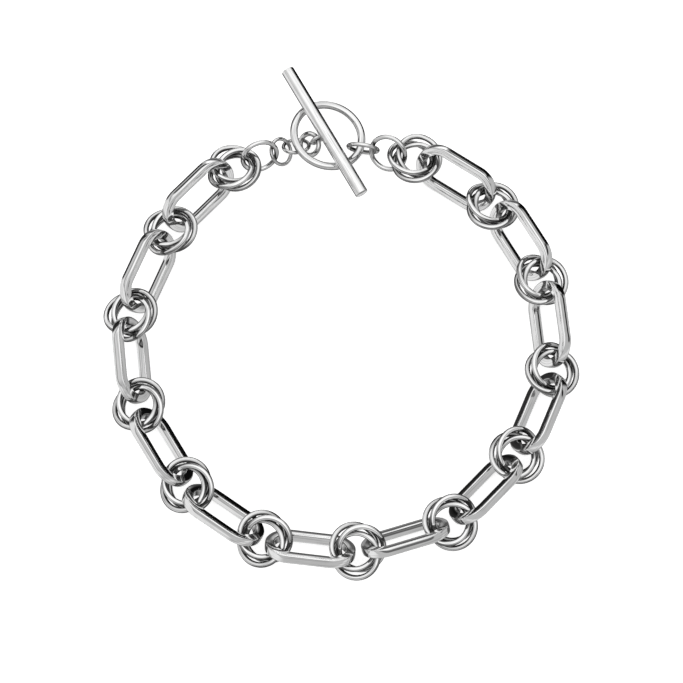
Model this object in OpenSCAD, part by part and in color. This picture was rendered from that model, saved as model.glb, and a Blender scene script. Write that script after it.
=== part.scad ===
// Link bracelet: a closed chain of square-wire long links joined by knots of
// three linked rings, fastened with a toggle bar through a toggle ring.
// It lies as it was laid down, nearly round, with every long link leaning
// outward on its lower edge. Millimetres. The origin is the middle of the
// loop at the level of the surface, the fastening is at the back (+Y).

/* [Long links] */
// Overall length of a long link
link_len = 13.15; // [12.4:0.05:14.2]
// Overall width of a long link
link_w = 7.5; // [7.0:0.05:7.9]
// Side of the square wire the long links are bent from
link_wire = 1.38; // [1.2:0.02:1.6]
// Ease on the four edges of the square wire
link_ease = 0.12; // [0.04:0.01:0.3]
// Usual play between the ends of neighbouring long links
link_play = 0.7; // [0.4:0.05:1.2]

/* [Ring knots] */
// Wire diameter of a knot ring
ring_wire = 0.82; // [0.6:0.02:0.96]
// Room left inside a knot ring beside the two link ends that it holds
ring_room = 2.15; // [2.0:0.05:2.5]
// Gap between the rings of a knot, straight across their bundle
ring_gap = 0.25; // [0.15:0.01:0.35]

/* [Jump rings] */
// Outside diameter of the two rings next to the chain ends
big_jump_od = 6; // [5.9:0.05:6.1]
// Wire diameter of the two rings next to the chain ends
big_jump_wire = 0.72; // [0.64:0.02:0.72]
// Outside diameter of the two small rings between them and the bar ring
small_jump_od = 4.4; // [4.35:0.05:4.5]
// Wire diameter of the two small rings
small_jump_wire = 0.55; // [0.5:0.01:0.56]
// Outside diameter of the ring that holds the toggle bar
bar_jump_od = 4; // [3.9:0.05:4.1]
// Wire diameter of the ring that holds the toggle bar
bar_jump_wire = 0.75; // [0.65:0.05:0.75]
// Outside diameter of the ring that holds the toggle ring
side_jump_od = 5.1; // [5.0:0.05:5.2]
// Wire diameter of the ring that holds the toggle ring
side_jump_wire = 0.65; // [0.55:0.05:0.65]

/* [Toggle] */
// Outside diameter of the toggle ring
toggle_od = 11.6; // [11.5:0.1:11.8]
// Wire diameter of the toggle ring
toggle_wire = 1.16; // [1.0:0.02:1.16]
// Length of the toggle bar
bar_len = 22.7; // [20:0.1:26]
// Diameter of the toggle bar
bar_dia = 2; // [1.8:0.05:2.1]
// Outside diameter of the eye soldered under the bar
eye_od = 2.8; // [2.7:0.05:2.9]
// Wire diameter of the eye
eye_wire = 0.56; // [0.5:0.02:0.64]

/* [Hidden] */
silver = [0.80, 0.81, 0.82];
bright = [0.86, 0.87, 0.88];

// How each long link was laid, counter-clockwise from the fastening:
// share of the usual play after it, lean in degrees, and how far it drifted
// outward as a share of its wire
LINK_PLAY = 0;
LINK_LEAN = 1;
LINK_DRIFT = 2;
LINKS = [
    [0.9, 58, 0.65],
    [1.3, 55, 0.29],
    [1.5, 58, 0.36],
    [0.9, 50, 0.22],
    [0.7, 46, 0.36],
    [0.6, 46, 0.50],
    [1.4, 56, 0.29],
    [0.9, 50, 0.22],
    [1.1, 50, 0.43],
    [1.0, 56, 0.36],
    [0.5, 54, 0.58],
    [0.8, 55, 0.58]
];

// How each knot was laid: drift outward as a share of its wire, lean inward in
// degrees, turn of the first ring, that ring's share of the spread, then slip
// along the chain and sag, both again as shares of the wire
KNOT_DRIFT = 0;
KNOT_LEAN = 1;
KNOT_TURN = 2;
KNOT_FAN = 3;
KNOT_SLIP = 4;
KNOT_SAG = 5;
KNOTS = [
    [ 0.61, 19, 70, 1.4, -0.18, 0.18],
    [-0.37, 20, 75, 1.2,  0.12, 0.30],
    [ 0.12, 22, 70, 1.3,  0.00, 0.43],
    [-0.24, 18, 80, 1.0,  0.18, 0.18],
    [-0.12, 18, 80, 1.0,  0.00, 0.12],
    [ 0.37, 19, 75, 1.1,  0.00, 0.12],
    [ 0.00, 20, 75, 1.4,  0.06, 0.24],
    [ 0.24, 19, 85, 1.1,  0.12, 0.24],
    [-0.49, 20, 75, 1.3,  0.00, 0.18],
    [ 0.24, 18, 60, 1.0,  0.12, 0.12],
    [ 0.00, 17, 70, 1.3,  0.00, 0.12],
    [ 0.00, 17, 60, 1.1, -0.06, 0.12],
    [-0.24, 16, 60, 1.4,  0.06, 0.06]
];

// The fastening, left to right: wire radius of the circle and wire diameter,
// how far it reaches from the ring before as a share of both radii, bearing
// of that reach, lean, swing, and rise off the surface as a share of radius
RING_R = 0;
RING_WIRE = 1;
RING_REACH = 2;
RING_BEARING = 3;
RING_LEAN = 4;
RING_SWING = 5;
RING_RISE = 6;
knot_r = (2 * link_wire + link_play + ring_room + ring_wire) / 2;
ring_spread = (ring_wire + ring_gap) / sqrt(3);
big_r = (big_jump_od - big_jump_wire) / 2;
small_r = (small_jump_od - small_jump_wire) / 2;
bar_ring_r = (bar_jump_od - bar_jump_wire) / 2;
side_r = (side_jump_od - side_jump_wire) / 2;
toggle_r = (toggle_od - toggle_wire) / 2;
FASTENING = [
    [big_r, big_jump_wire, 0.71, 25, 64, 21, 0.22],
    [small_r, small_jump_wire, 0.74, 18, 43, 76, 0.20],
    [small_r, small_jump_wire, 0.65, 22, -39, 5, 0],
    [bar_ring_r, bar_jump_wire, 0.57, 1, 37, -59, 0.28],
    [toggle_r, toggle_wire, 0.44, 21, 15, 119.5, 0.08],
    [side_r, side_jump_wire, 0.765, -25, -83, -8.5, 0],
    [big_r, big_jump_wire, 0.80, -19, 49, -26, 0.36],
    [knot_r, ring_wire, 0.695, -17, 0, 0, 0]
];
TOGGLE = 4;
first_knot_turn = 30;

function along(length, bearing) = length * [cos(bearing), sin(bearing), 0];
function outward(length, turn) = length * [-sin(turn), cos(turn), 0];
function heading(a, b) = atan2(b[1] - a[1], b[0] - a[0]);

// Where the fastening's pieces lie, measured from the first knot
function reach(k) = let(
        before = k == 0 ? knot_r : FASTENING[k - 1][RING_R],
        here = FASTENING[k][RING_R]
    ) along(FASTENING[k][RING_REACH] * (before + here), FASTENING[k][RING_BEARING]);
function run_to(k) = k < 0 ? [0, 0, 0] : run_to(k - 1) + reach(k);
run_end = run_to(len(FASTENING) - 1);
span = norm(run_end);

// Angle at the middle of the loop between two knots a distance apart
function drift(i) = ring_wire * KNOTS[i][KNOT_DRIFT];
function angle_between(r, i, j, apart) = let(
        a = r + drift(i),
        b = r + drift(j)
    ) acos((a * a + b * b - apart * apart) / (2 * a * b));
function pitch(i) = link_len + link_play * LINKS[i][LINK_PLAY];
function turns(r, i = 0) = i == len(LINKS)
    ? angle_between(r, i, 0, span)
    : angle_between(r, i, i + 1, pitch(i)) + turns(r, i + 1);

// Radius at which the chain and its fastening close into one loop
function closing(lo, hi, steps = 40) = let(mid = (lo + hi) / 2)
    steps == 0 ? mid : turns(mid) > 360
        ? closing(mid, hi, steps - 1)
        : closing(lo, mid, steps - 1);
loop_r = closing(0.6 * span, 6 * link_len);

function knot_turn(i) = i == 0 ? first_knot_turn
    : knot_turn(i - 1) + angle_between(loop_r, i - 1, i, pitch(i - 1));
KNOT_TURNS = [for (i = [0:len(LINKS)]) knot_turn(i)];
KNOT_POINTS = [for (i = [0:len(LINKS)]) outward(loop_r + drift(i), KNOT_TURNS[i])];

// A leaning link rests on its lower edge, and a knot hangs between two links
function link_height(i) = let(lean = LINKS[i][LINK_LEAN])
    link_w / 2 * sin(lean) + link_wire / 2 * cos(lean);
function knot_height(i) = let(
        before = link_height(max(i - 1, 0)),
        after = link_height(min(i, len(LINKS) - 1))
    ) (before + after) / 2 - ring_wire * KNOTS[i][KNOT_SAG];

run_heading = heading(KNOT_POINTS[0], KNOT_POINTS[12]) - heading([0, 0], run_end);
function turned(v, a) = [
    v[0] * cos(a) - v[1] * sin(a),
    v[0] * sin(a) + v[1] * cos(a),
    0
];
function ring_rise(k) = let(
        r = FASTENING[k][RING_R],
        lean = abs(FASTENING[k][RING_LEAN])
    ) r * (sin(lean) + FASTENING[k][RING_RISE]) + FASTENING[k][RING_WIRE] / 2;
function ring_point(k) = KNOT_POINTS[0] + turned(run_to(k), run_heading)
    + [0, 0, ring_rise(k)];

// The bar lies across the toggle ring, level and clear of its wire, a little
// up its own length and toward the side on which the leaning ring is higher
bar_clear = 0.13 * toggle_wire;
bar_slip = 0.1 * toggle_wire;
bar_aside = 0.43 * toggle_wire;
toggle_lean = FASTENING[TOGGLE][RING_LEAN];
toggle_swing = FASTENING[TOGGLE][RING_SWING];
bar_rise = (toggle_wire / 2 + bar_dia / 2 + bar_clear) / cos(toggle_lean)
    + bar_aside * tan(toggle_lean);
bar_point = ring_point(TOGGLE) + along(bar_slip, toggle_swing)
    + outward(bar_aside, toggle_swing) + [0, 0, bar_rise];
eye_r = (eye_od - eye_wire) / 2;
eye_sink = eye_wire / 3;
eye_turn = 36;

// Square wire with eased edges, seen from its end
module square_wire() {
    half = link_wire / 2;
    flat = half - link_ease;
    polygon([
        [half, flat],
        [flat, half],
        [-flat, half],
        [-half, flat],
        [-half, -flat],
        [-flat, -half],
        [flat, -half],
        [half, -flat]
    ]);
}

// A link bent from square wire: two straight sides and two round ends
module square_link() {
    straight = link_len - link_w;
    bend = (link_w - link_wire) / 2;
    for (side = [-1, 1])
        translate([0, side * bend, 0])
            rotate([0, 90, 0])
                linear_extrude(straight, center = true) square_wire();
    for (end = [-90, 90])
        rotate([0, 0, end])
            translate([0, straight / 2, 0])
                rotate_extrude(angle = 180, $fn = 96)
                    translate([bend, 0]) square_wire();
}

// A ring of round wire
module wire_ring(r, wire) {
    rotate_extrude($fn = 96)
        translate([r, 0]) circle(d = wire, $fn = 32);
}

// One long link, leaning outward on its lower edge
module long_link(i) {
    here = KNOT_POINTS[i];
    next = KNOT_POINTS[i + 1];
    along_link = heading(next, here);
    color(silver)
        translate((here + next) / 2 + outward(link_wire * LINKS[i][LINK_DRIFT], along_link))
            translate([0, 0, link_height(i)])
                rotate([LINKS[i][LINK_LEAN], 0, along_link])
                    square_link();
}

// One knot: three equal rings, each passing through the other two
module ring_knot(i) {
    row = KNOTS[i];
    color(bright)
        translate(KNOT_POINTS[i] + [0, 0, knot_height(i)])
            rotate([0, 0, KNOT_TURNS[i]])
                translate([ring_wire * row[KNOT_SLIP], 0, 0])
                    rotate([-row[KNOT_LEAN], 0, 0])
                        for (k = [0:2]) {
                            fan = k == 0 ? row[KNOT_FAN] : 1;
                            off = ring_spread * fan;
                            rotate([0, 0, row[KNOT_TURN] + 120 * k])
                                translate([off, 0, 0])
                                    rotate([asin(off / knot_r), 0, 0])
                                        wire_ring(knot_r, ring_wire);
                        }
}

// One plain ring of the fastening
module fastening_ring(k) {
    row = FASTENING[k];
    color(silver)
        translate(ring_point(k))
            rotate([row[RING_LEAN], 0, row[RING_SWING]])
                wire_ring(row[RING_R], row[RING_WIRE]);
}

// The bar with the eye soldered under its middle
module toggle_bar() {
    color(bright)
        translate(bar_point)
            rotate([0, 0, toggle_swing]) {
                rotate([0, 90, 0])
                    cylinder(h = bar_len, d = bar_dia, center = true, $fn = 64);
                rotate([eye_turn, 0, 0])
                    translate([0, 0, eye_sink - bar_dia / 2 - eye_r])
                        rotate([0, 90, 0])
                            wire_ring(eye_r, eye_wire);
            }
}

for (i = [1:12])
    long_link(i - 1);
for (i = [1:13])
    ring_knot(i - 1);
for (i = [1:4])
    fastening_ring(i - 1);
for (i = [5:6])
    fastening_ring(i);
fastening_ring(TOGGLE);  // toggle_ring
toggle_bar();
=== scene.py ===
# A silver link bracelet, fastened and lying in its loop. Twelve long links of square wire are joined by
# knots of three round-wire rings, and a bar through a ring fastens the ends. Lengths are in metres.
import math

import bpy
import numpy as np
from mathutils import Matrix, Vector
from mathutils.kdtree import KDTree


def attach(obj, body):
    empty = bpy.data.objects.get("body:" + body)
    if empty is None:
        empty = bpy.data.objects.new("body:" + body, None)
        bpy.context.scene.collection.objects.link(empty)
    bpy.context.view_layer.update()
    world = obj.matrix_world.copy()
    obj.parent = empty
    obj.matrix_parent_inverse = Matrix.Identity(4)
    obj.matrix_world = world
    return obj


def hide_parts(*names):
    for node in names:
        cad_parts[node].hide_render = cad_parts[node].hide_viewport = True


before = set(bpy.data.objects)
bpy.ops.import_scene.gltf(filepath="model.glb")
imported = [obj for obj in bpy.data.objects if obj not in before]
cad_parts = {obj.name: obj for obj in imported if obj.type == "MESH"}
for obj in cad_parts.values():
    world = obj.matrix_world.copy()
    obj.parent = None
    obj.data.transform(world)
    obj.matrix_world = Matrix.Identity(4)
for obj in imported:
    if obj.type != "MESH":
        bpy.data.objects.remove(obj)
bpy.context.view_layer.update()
bpy.ops.object.select_all(action="DESELECT")
mm = 0.001

# The studio: a white table, and a camera that looks down on the loop from the side away from the
# fastening. A white tent surrounds the table. Its dark gaps show as thin lines in the metal.
camera_slope = math.radians(73)
camera_distance = 420 * mm
camera_target = Vector((0.14, 1.305, -0.15)) * mm
camera_angle = math.radians(13.72)
table_size = 6.0
table_drop = 0.02 * mm
table_white = (0.9, 0.9, 0.9, 1)
table_roughness = 0.7
table_glow = 0.75
backdrop_white = 0.95


class Wire:
    """One output of a shader node, with the sums that are used on it."""

    def __init__(self, tree, socket=None):
        self.tree = tree
        self.socket = socket

    def node(self, kind, inputs, out=0, **settings):
        made = self.tree.nodes.new(kind)
        for name, value in settings.items():
            setattr(made, name, value)
        for key, value in inputs.items():
            if isinstance(value, Wire):
                self.tree.links.new(value.socket, made.inputs[key])
            else:
                made.inputs[key].default_value = value
        return Wire(self.tree, made.outputs[out] if len(made.outputs) else None)

    def maths(self, operation, other=0.0):
        return self.node("ShaderNodeMath", {0: self, 1: other}, operation=operation)

    def __add__(self, other):
        return self.maths("ADD", other)

    __radd__ = __add__

    def __sub__(self, other):
        return self.maths("SUBTRACT", other)

    def __rsub__(self, other):
        return self.node("ShaderNodeMath", {0: other, 1: self}, operation="SUBTRACT")

    def __mul__(self, other):
        return self.maths("MULTIPLY", other)

    __rmul__ = __mul__

    def __truediv__(self, other):
        return self.maths("DIVIDE", other)

    def between(self, low, high, to_low=0.0, to_high=1.0):
        """Eases from to_low to to_high as the value goes from low to high."""
        ends = {"Value": self, "From Min": low, "From Max": high, "To Min": to_low, "To Max": to_high}
        return self.node("ShaderNodeMapRange", ends, interpolation_type="SMOOTHSTEP")


bpy.ops.object.camera_add(
    location=camera_target
    + camera_distance * Vector((0, -math.cos(camera_slope), math.sin(camera_slope))),
    rotation=(math.pi / 2 - camera_slope, 0, 0),
)
camera = bpy.context.object
camera.name = "camera"
camera.data.lens_unit = "FOV"
camera.data.angle = camera_angle
camera.data.clip_start = 10 * mm
camera.data.clip_end = 20
bpy.context.scene.camera = camera
bpy.context.scene.view_settings.view_transform = "Standard"

bpy.ops.mesh.primitive_plane_add(size=table_size, location=(0, 0, -table_drop))
table = bpy.context.object
table.name = "table"
table.visible_glossy = False
white = bpy.data.materials.new("white table")
white.use_nodes = True
paint = white.node_tree.nodes["Principled BSDF"]
paint.inputs["Base Color"].default_value = table_white
paint.inputs["Roughness"].default_value = table_roughness
paint.inputs["Emission Color"].default_value = (1, 1, 1, 1)
paint.inputs["Emission Strength"].default_value = table_glow
table.data.materials.append(white)

tent = bpy.data.worlds.new("white tent")
bpy.context.scene.world = tent
tent.use_nodes = True
tent.node_tree.nodes.clear()
sky = Wire(tent.node_tree)
toward = sky.node("ShaderNodeTexCoord", {})
across, depth, height = (sky.node("ShaderNodeSeparateXYZ", {0: toward}, out=k) for k in range(3))
least_level = 0.01
level = (1 - height * height).maths("POWER", 0.5).maths("MAXIMUM", least_level)


def band(low, high, soft=2):
    """1 between two heights above the horizon in degrees, easing off outside them."""
    outer_low, inner_low, inner_high, outer_high = (
        math.sin(math.radians(a)) for a in (low - soft, low + soft, high - soft, high + soft)
    )
    return height.between(outer_low, inner_low) * height.between(inner_high, outer_high, 1, 0)


def facing(middle, half, soft=15):
    """1 on one side of the table: degrees from the camera's side, counter-clockwise seen from above."""
    turn = math.radians(middle)
    turned = (across * math.sin(turn) - depth * math.cos(turn)) / level
    return turned.between(math.cos(math.radians(half + soft)), math.cos(math.radians(half - soft)))


# The tent's cloth. Lights are shares of full white. Each pair of heights, as sines of the angle above
# the horizon, is where one light goes over into the next.
roof_light = 1.1
roof_heights = (0.58, 0.93)
wall_light = 0.5
table_light = 0.06
table_heights = (-0.86, -0.4)
underneath_light = 0.6
underneath_heights = (-0.92, -0.88)
glow = wall_light + height.between(*roof_heights) * (roof_light - wall_light)
glow = glow + height.between(*table_heights, table_light - wall_light, 0.0)
glow = glow + height.between(*underneath_heights, underneath_light, 0.0)

# Lamps behind the cloth, each brightening one patch of it.
left_lamp = 0.32
high_left_lamp = 0.15
high_back_lamp = 0.45
low_back_lamp = 0.7
low_front_lamp = 0.2
glow = glow + band(low=-25, high=14) * facing(middle=-80, half=42) * left_lamp
glow = glow + band(low=18, high=44) * facing(middle=-105, half=35) * high_left_lamp
glow = glow + band(low=20, high=48) * facing(middle=180, half=52) * high_back_lamp
glow = glow + band(low=-7, high=10) * facing(middle=176, half=19, soft=4) * low_back_lamp
glow = glow + band(low=-16, high=-2) * facing(middle=30, half=50) * low_front_lamp

# Gaps between the cloths, through which the dark room shows. Each loss is the share of the light that
# is missing there. Two of the gaps are fainter, by a share of their own.
right_loss = 0.99
back_loss = 0.98
left_loss = 0.95
front_loss = 0.75
low_back_share = 0.8
high_left_share = 0.6
low_right_gap = band(low=-50, high=8) * facing(middle=142, half=18, soft=5)
high_right_gap = band(low=8, high=17) * facing(middle=108, half=20, soft=5)
high_back_gap = band(low=11, high=19, soft=1) * facing(middle=180, half=40, soft=6)
low_back_gap = band(low=-34, high=-14) * facing(middle=180, half=36, soft=8) * low_back_share
low_left_gap = band(low=-30, high=3) * facing(middle=-137, half=18, soft=5)
high_left_gap = band(low=15, high=18, soft=1) * facing(middle=-90, half=40, soft=6) * high_left_share
front_gap = band(low=34, high=45) * facing(middle=5, half=50, soft=8)
glow = glow * (1 - (low_right_gap + high_right_gap) * right_loss)
glow = glow * (1 - (high_back_gap + low_back_gap) * back_loss)
glow = glow * (1 - (low_left_gap + high_left_gap) * left_loss)
glow = glow * (1 - front_gap * front_loss)
seen = sky.node("ShaderNodeLightPath", {})
strength = glow * (1 - seen) + seen * backdrop_white
lit = sky.node("ShaderNodeBackground", {"Color": (1, 1, 1, 1), "Strength": strength})
sky.node("ShaderNodeOutputWorld", {"Surface": lit})

# The long links: square silver wire bent into a long loop and soldered shut. Tumbling has rounded its
# edges and left its faces slightly crowned. Each lies on its lower side and leans outward.
link_ease = 0.14 * mm
link_crown = 0.22
link_edge_steps = 4
link_face_steps = 6
link_bend_steps = 28
link_straight_steps = 16
same_point = 0.0001 * mm
weld = 0.001 * mm


def solids_of(node):
    """The CAD node's separate solids, each as its points and its triangles' corners."""
    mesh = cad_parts[node].data
    mesh.calc_loop_triangles()
    corners = np.array([t.vertices[:] for t in mesh.loop_triangles])
    points = np.array([v.co[:] for v in mesh.vertices])
    merged, place = np.unique(np.round(points / same_point), axis=0, return_inverse=True)
    corners = place.reshape(-1)[corners]
    owner = np.arange(len(merged))
    while True:
        lowest = owner[corners].min(axis=1)
        spread = owner.copy()
        for column in range(3):
            np.minimum.at(spread, corners[:, column], lowest)
        spread = spread[spread]
        if (spread == owner).all():
            break
        owner = spread
    points = merged * same_point
    return [(points, corners[owner[corners[:, 0]] == label]) for label in np.unique(owner)]


def lie_of(points, corners):
    """Middle and own axes of a solid: longest, then middle, then shortest way, the last two pointing up."""
    a, b, c = (points[corners[:, k]] for k in range(3))
    areas = np.linalg.norm(np.cross(b - a, c - a), axis=1)[:, None]
    middle = ((a + b + c) * areas).sum(axis=0) / (3 * areas.sum())
    a, b, c = a - middle, b - middle, c - middle
    total = a + b + c
    spread = sum((v * areas).T @ v for v in (a, b, c, total))
    axes = np.linalg.eigh(spread)[1].T
    shortest, across = (v if v[2] > 0 else -v for v in axes[:2])
    lie = Matrix.Identity(4)
    for column, axis in enumerate((np.cross(across, shortest), across, shortest, middle)):
        lie.col[column][:3] = axis
    return lie


def reach_of(points, corners, lie):
    """Half lengths of a solid along its own axes, and how far it reaches from its shortest axis."""
    own = (points[np.unique(corners)] - np.array(lie.col[3][:3])) @ np.array(lie.to_3x3())
    return (*np.abs(own).max(axis=0), np.hypot(own[:, 0], own[:, 1]).max())


pieces = []


def begin_edit(piece):
    bpy.context.view_layer.objects.active = piece
    bpy.ops.object.mode_set(mode="EDIT")
    bpy.ops.mesh.select_mode(type="VERT")
    bpy.ops.mesh.select_all(action="SELECT")


def end_edit():
    bpy.ops.object.mode_set(mode="OBJECT")
    bpy.ops.object.shade_smooth()
    bpy.ops.object.select_all(action="DESELECT")


def laid(pattern, lie, name):
    """A copy of a modelled piece, with its own mesh, laid where its CAD solid lies."""
    piece = pattern.copy()
    piece.data = pattern.data.copy()
    piece.data.transform(lie)
    piece.name = piece.data.name = name
    bpy.context.scene.collection.objects.link(piece)
    pieces.append(piece)
    return piece


def set_grain(piece, along, across, up):
    """Stores for each point how far it is along its wire, and where it is around the wire."""
    grain = piece.data.attributes.new("grain", "FLOAT_VECTOR", "POINT")
    grain.data.foreach_set("vector", np.stack([along, across, up], axis=1).ravel())


# Silver: how large its clouds, specks and polishing waves are, how much of each noise counts, and how
# many noise cells go along and around a metre of wire for the lines that drawing and rubbing leave.
cloud_size = 2.4 * mm
cloud_range = (0.35, 0.7)
cloud_dulls = 0.5
speck_size = 0.22 * mm
speck_range = (0.62, 0.78)
speck_dulls = 0.25
wave_size = 1.6 * mm
line_cells = (150.0, 4500.0, 4500.0)
streak_range = (0.5, 0.6)
dull_tone = 0.86
# The dark colour, and the extra roughness, where the painted shade and the real wear streaks fall.
shade_and_streak_tone = 0.12
shade_and_streak_haze = 0.15
even_haze = 0.7
cloud_haze = 0.5
line_haze = 0.4
speck_haze = 0.8


def shade(colour, share):
    """A colour at a share of its brightness."""
    return tuple(share * c for c in colour[:3]) + (1,)


def silver(name, colour, haze, waver, grain, streaks):
    """Polished silver with faint haze, soft polishing waves, darker wear lines along the wire, and painted
    shade where pieces lie close and low on each wire.
    """
    material = bpy.data.materials.new(name)
    material.use_nodes = True
    tree = material.node_tree
    tree.nodes.clear()
    metal = Wire(tree)
    place = metal.node("ShaderNodeTexCoord", {}, out=3)

    def noise(size, detail, shape=0.5):
        values = {"Vector": place, "Scale": 1 / size, "Detail": detail, "Roughness": shape}
        return metal.node("ShaderNodeTexNoise", values)

    def mixed(share, first, second):
        values = {"Factor": share, 6: first, 7: second}
        return metal.node("ShaderNodeMix", values, out=2, data_type="RGBA")

    cloud = noise(cloud_size, 3.0).between(*cloud_range)
    specks = noise(speck_size, 4.0, 0.65).between(*speck_range)
    wire = metal.node("ShaderNodeAttribute", {}, out=1, attribute_name="grain")
    stretched = metal.node("ShaderNodeVectorMath", {0: wire, 1: line_cells}, operation="MULTIPLY")
    lines = metal.node("ShaderNodeTexNoise", {"Vector": stretched, "Scale": 1.0, "Detail": 3.0})
    # Painted shade, read per point, plus real wear streaks along the wire: together they darken the tone
    # and roughen it.
    near = metal.node("ShaderNodeAttribute", {}, out=2, attribute_name="painted_shade_and_streaks")
    painted_shade_and_streaks = (near + lines.between(*streak_range) * streaks).maths("MINIMUM", 1.0)
    tone = mixed(cloud * cloud_dulls + specks * speck_dulls, colour, shade(colour, dull_tone))
    tone = mixed(painted_shade_and_streaks, tone, shade(colour, shade_and_streak_tone))
    wave = noise(wave_size, 1.5)
    waves = metal.node("ShaderNodeBump", {"Height": wave, "Distance": waver, "Strength": 1.0})
    relief = {"Height": lines, "Distance": grain, "Strength": 1.0, "Normal": waves}
    normal = metal.node("ShaderNodeBump", relief)
    rough = haze * (even_haze + cloud * cloud_haze + lines * line_haze + specks * speck_haze)
    rough = rough + painted_shade_and_streaks * shade_and_streak_haze
    values = {"Base Color": tone, "Metallic": 1.0, "Roughness": rough, "Normal": normal}
    shader = metal.node("ShaderNodeBsdfPrincipled", values)
    metal.node("ShaderNodeOutputMaterial", {"Surface": shader})
    return material


long_links = sorted((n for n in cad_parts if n.startswith("long_link_")), key=lambda n: int(n[10:]))
first_link = solids_of(long_links[0])[0]
half_len, half_w, half_wire, _ = reach_of(*first_link, lie_of(*first_link))
straight = 2 * (half_len - half_w)
bend_r = half_w - half_wire
wire_start = Vector((straight / 2, bend_r, 0))

bpy.ops.mesh.primitive_plane_add(size=2 * half_wire, location=wire_start, rotation=(0, math.pi / 2, 0))
link = bpy.context.object
bpy.ops.object.transform_apply(location=True, rotation=True, scale=True)
begin_edit(link)
bpy.ops.mesh.bevel(offset=link_ease, segments=link_edge_steps, affect="VERTICES")
bpy.ops.mesh.select_all(action="DESELECT")
bpy.ops.object.mode_set(mode="OBJECT")
for edge in link.data.edges:  # the four flat sides, not the eased corners
    a, b = (link.data.vertices[v].co for v in edge.vertices)
    edge.select = (a - b).length > half_wire
bpy.ops.object.mode_set(mode="EDIT")
bpy.ops.mesh.select_mode(type="EDGE")
bpy.ops.mesh.subdivide(number_cuts=link_face_steps)
bpy.ops.mesh.select_mode(type="VERT")
bpy.ops.mesh.select_all(action="SELECT")
bpy.ops.transform.tosphere(value=link_crown)
bpy.ops.object.mode_set(mode="OBJECT")
crowned = max(v.co.z for v in link.data.vertices)
begin_edit(link)
bpy.ops.transform.resize(value=(1, half_wire / crowned, half_wire / crowned), center_override=wire_start)
bpy.ops.mesh.delete(type="ONLY_FACE")
bpy.ops.mesh.select_all(action="SELECT")
for side in (1, -1):
    bpy.ops.mesh.select_mode(type="EDGE")
    bpy.ops.mesh.spin(
        steps=link_bend_steps, angle=math.pi, center=(side * straight / 2, 0, 0), axis=(0, 0, 1)
    )
    for _ in range(link_straight_steps):
        step = -side * straight / link_straight_steps
        bpy.ops.mesh.extrude_edges_move(TRANSFORM_OT_translate={"value": (step, 0, 0)})
bpy.ops.mesh.select_all(action="SELECT")
bpy.ops.mesh.remove_doubles(threshold=weld)
bpy.ops.mesh.normals_make_consistent(inside=False)
end_edit()
x, y, z = np.array([v.co[:] for v in link.data.vertices]).T
past_straight = np.maximum(np.abs(x) - straight / 2, 0)
turn = np.arctan2(past_straight, np.abs(y))
along = np.minimum(np.abs(x), straight / 2) + bend_r * turn
set_grain(link, np.sign(x) * along, np.hypot(past_straight, y) - bend_r, z)
link.data.materials.append(
    silver(
        "link silver",
        colour=(0.95, 0.95, 0.95, 1),
        haze=0.03,
        waver=0.004 * mm,
        grain=0.003 * mm,
        streaks=0.22,
    )
)

for node in long_links:
    solid = solids_of(node)[0]
    piece = laid(link, lie_of(*solid), node + "_silver")
    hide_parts(node)
    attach(piece, "root")
bpy.data.objects.remove(link)

# The ring knots: three equal rings of round silver wire, soldered shut after they were passed through one
# another and through the link ends. They slide on each other, so their wire is streaked along its length.
# Each knot's rings become one piece in the last section, once each ring's painted shade is known.
ring_wire_sides = 20
ring_steps = 108


def wire_ring(radius, wire):
    """A ring of round wire about the vertical axis, made by spinning the wire's circle."""
    bpy.ops.mesh.primitive_circle_add(
        vertices=ring_wire_sides, radius=wire / 2, location=(radius, 0, 0), rotation=(math.pi / 2, 0, 0)
    )
    ring = bpy.context.object
    bpy.ops.object.transform_apply(location=True, rotation=True, scale=True)
    begin_edit(ring)
    bpy.ops.mesh.select_mode(type="EDGE")
    bpy.ops.mesh.spin(steps=ring_steps, angle=2 * math.pi, center=(0, 0, 0), axis=(0, 0, 1))
    bpy.ops.mesh.select_all(action="SELECT")
    bpy.ops.mesh.remove_doubles(threshold=weld)
    bpy.ops.mesh.normals_make_consistent(inside=False)
    end_edit()
    x, y, z = np.array([v.co[:] for v in ring.data.vertices]).T
    set_grain(ring, radius * np.abs(np.arctan2(y, x)), np.hypot(x, y) - radius, z)
    return ring


def ring_like(solid):
    """A ring of the same size as the CAD solid, about the origin."""
    _, _, wire_radius, outside = reach_of(*solid, lie_of(*solid))
    return wire_ring(outside - wire_radius, 2 * wire_radius)


ring_knots = sorted((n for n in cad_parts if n.startswith("ring_knot_")), key=lambda n: int(n[10:]))
knot_ring = ring_like(solids_of(ring_knots[0])[0])
knot_ring.data.materials.append(
    silver(
        "ring silver",
        colour=(0.94, 0.94, 0.94, 1),
        haze=0.03,
        waver=0.003 * mm,
        grain=0.002 * mm,
        streaks=0.75,
    )
)
knot_rings = {
    node: [laid(knot_ring, lie_of(*solid), node + "_silver") for solid in solids_of(node)]
    for node in ring_knots
}
bpy.data.objects.remove(knot_ring)

# The jump rings and the toggle ring: plain rings of round silver wire, each bent shut. They link the
# chain's two ends to the fastening. Their joints can't be seen in the photograph, so none is cut.
clasp_silver = silver(
    "clasp silver",
    colour=(0.94, 0.94, 0.94, 1),
    haze=0.03,
    waver=0.003 * mm,
    grain=0.001 * mm,
    streaks=0.2,
)
for node in [f"jump_ring_{k}" for k in range(1, 7)] + ["toggle_ring"]:
    solid = solids_of(node)[0]
    pattern = ring_like(solid)
    pattern.data.materials.append(clasp_silver)
    piece = laid(pattern, lie_of(*solid), node + "_silver")
    bpy.data.objects.remove(pattern)
    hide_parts(node)
    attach(piece, "root")

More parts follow.
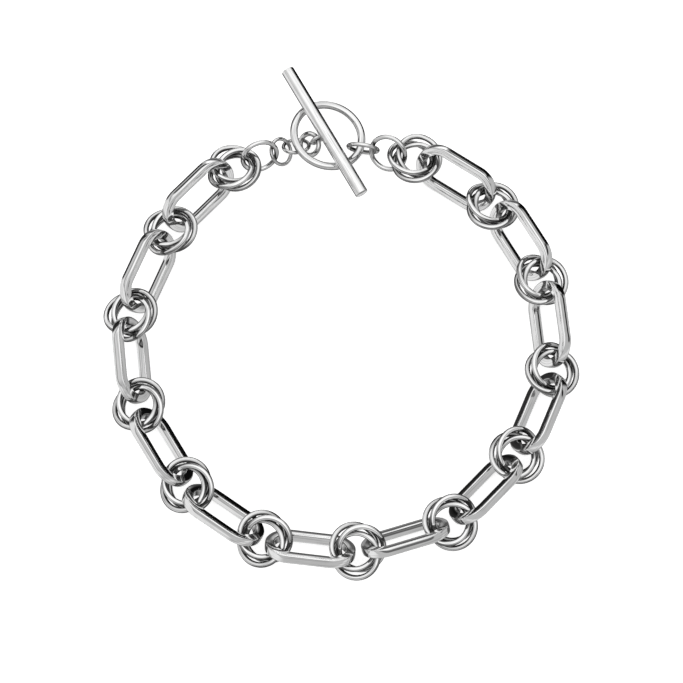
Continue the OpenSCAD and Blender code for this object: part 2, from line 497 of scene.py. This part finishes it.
# The toggle bar: a turned rod with its end edges broken, and an eye of round wire soldered under its
# middle, which the fourth jump ring holds. Its length, thickness and lie come from its CAD solid: the
# ends give the bar's axis, and the point farthest from that axis is the eye's tip.
bar_edge = 0.12 * mm
bar_edge_steps = 4
bar_sides = 96
bar_smooth_below = math.radians(35)
end_slice = 0.3 * mm
beyond_eye = 0.45
eye_wire = 0.56 * mm
eye_sink = eye_wire / 3
bar_solid = solids_of("toggle_bar")[0]
points = bar_solid[0][np.unique(bar_solid[1])]
along_bar = points @ np.array(lie_of(*bar_solid).col[0][:3])
ends = [
    points[along_bar < along_bar.min() + end_slice].mean(axis=0),
    points[along_bar > along_bar.max() - end_slice].mean(axis=0),
]
bar_dir = (ends[1] - ends[0]) / np.linalg.norm(ends[1] - ends[0])
bar_middle = (ends[0] + ends[1]) / 2
bar_len = np.ptp(points @ bar_dir)
offset = points - bar_middle
off_axis = offset - np.outer(offset @ bar_dir, bar_dir)
at_end = np.abs(offset @ bar_dir) > beyond_eye * bar_len
bar_r = np.linalg.norm(off_axis[at_end], axis=1).max()
eye_tip = off_axis[np.linalg.norm(off_axis, axis=1).argmax()]
eye_reach = np.linalg.norm(eye_tip)
hang = eye_tip / eye_reach
eye_r = (eye_reach - bar_r + eye_sink - eye_wire) / 2
eye_middle = bar_middle + hang * (eye_reach - eye_wire / 2 - eye_r)

lie = Matrix.Identity(4)
for column, axis in enumerate((np.cross(hang, bar_dir), hang, bar_dir, bar_middle)):
    lie.col[column][:3] = axis
bpy.ops.mesh.primitive_cylinder_add(vertices=bar_sides, radius=bar_r, depth=bar_len)
bar = bpy.context.object
begin_edit(bar)
bpy.ops.mesh.select_mode(type="EDGE")
bpy.ops.mesh.select_all(action="DESELECT")
bpy.ops.object.mode_set(mode="OBJECT")
for edge in bar.data.edges:
    a, b = (bar.data.vertices[v].co for v in edge.vertices)
    edge.select = abs(a.z - b.z) < bar_edge
bpy.ops.object.mode_set(mode="EDIT")
bpy.ops.mesh.bevel(offset=bar_edge, segments=bar_edge_steps, affect="EDGES")
bpy.ops.object.mode_set(mode="OBJECT")
bpy.ops.object.shade_smooth_by_angle(angle=bar_smooth_below)
bpy.ops.object.select_all(action="DESELECT")
x, y, z = np.array([v.co[:] for v in bar.data.vertices]).T
set_grain(bar, z, x, y)
bar.data.transform(lie)
bar.data.materials.append(clasp_silver)

eye = wire_ring(eye_r, eye_wire)
for column, axis in enumerate((np.cross(hang, bar_dir), hang, bar_dir, eye_middle)):
    lie.col[column][:3] = axis
eye.data.transform(lie)
eye.data.materials.append(clasp_silver)
eye.select_set(True)
bar.select_set(True)
bpy.context.view_layer.objects.active = bar
bpy.ops.object.join()
bpy.ops.object.select_all(action="DESELECT")
bar.name = bar.data.name = "toggle_bar_silver"
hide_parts("toggle_bar")
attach(bar, "root")

# Painted shade: the silver is painted darker where two pieces lie close, and on the lower side of each
# wire, standing in for the shade that falls between and under the pieces. The underside's share sets in
# where a normal's rise falls below the shelter value, and the bar has none of it. The rings of each knot
# are then joined into one piece.
painted_shade_reach = 0.8 * mm
painted_shade_gap = 0.15 * mm
painted_shade_fall = 1.5
painted_underside_shade = 0.75
link_shelter = 0.25
ring_shelter = 0.7
pieces.append(bar)
surfaces = [np.array([v.co[:] for v in piece.data.vertices]) for piece in pieces]
trees = []
for points in surfaces:
    tree = KDTree(len(points))
    for index, point in enumerate(points):
        tree.insert(point, index)
    tree.balance()
    trees.append(tree)
for piece, points in zip(pieces, surfaces):
    painted_shade_and_streaks = np.zeros(len(points))
    for other, tree in zip(surfaces, trees):
        if other is points:
            continue
        close = (points > other.min(axis=0) - painted_shade_reach) & (points < other.max(axis=0) + painted_shade_reach)
        for index in np.flatnonzero(close.all(axis=1)):
            gap = tree.find(points[index])[2]
            # Painted shade where another piece lies close.
            painted_shade_and_streaks[index] = max(painted_shade_and_streaks[index], 1 - (gap - painted_shade_gap) / painted_shade_reach)
    painted_shade_and_streaks = np.clip(painted_shade_and_streaks, 0, 1) ** painted_shade_fall
    if piece is not bar:
        shelter = link_shelter if piece.name.startswith("long_link") else ring_shelter
        # Painted shade low on each wire, where its normal turns down.
        below = np.array([1 - v.normal.z / shelter for v in piece.data.vertices])
        painted_shade_and_streaks = np.maximum(painted_shade_and_streaks, painted_underside_shade * np.clip(below, 0, 1))
    layer = piece.data.attributes.new("painted_shade_and_streaks", "FLOAT", "POINT")
    layer.data.foreach_set("value", painted_shade_and_streaks)
for node, rings in knot_rings.items():
    for ring in rings:
        ring.select_set(True)
    bpy.context.view_layer.objects.active = rings[0]
    bpy.ops.object.join()
    bpy.ops.object.select_all(action="DESELECT")
    rings[0].name = rings[0].data.name = node + "_silver"
    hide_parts(node)
    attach(rings[0], "root")
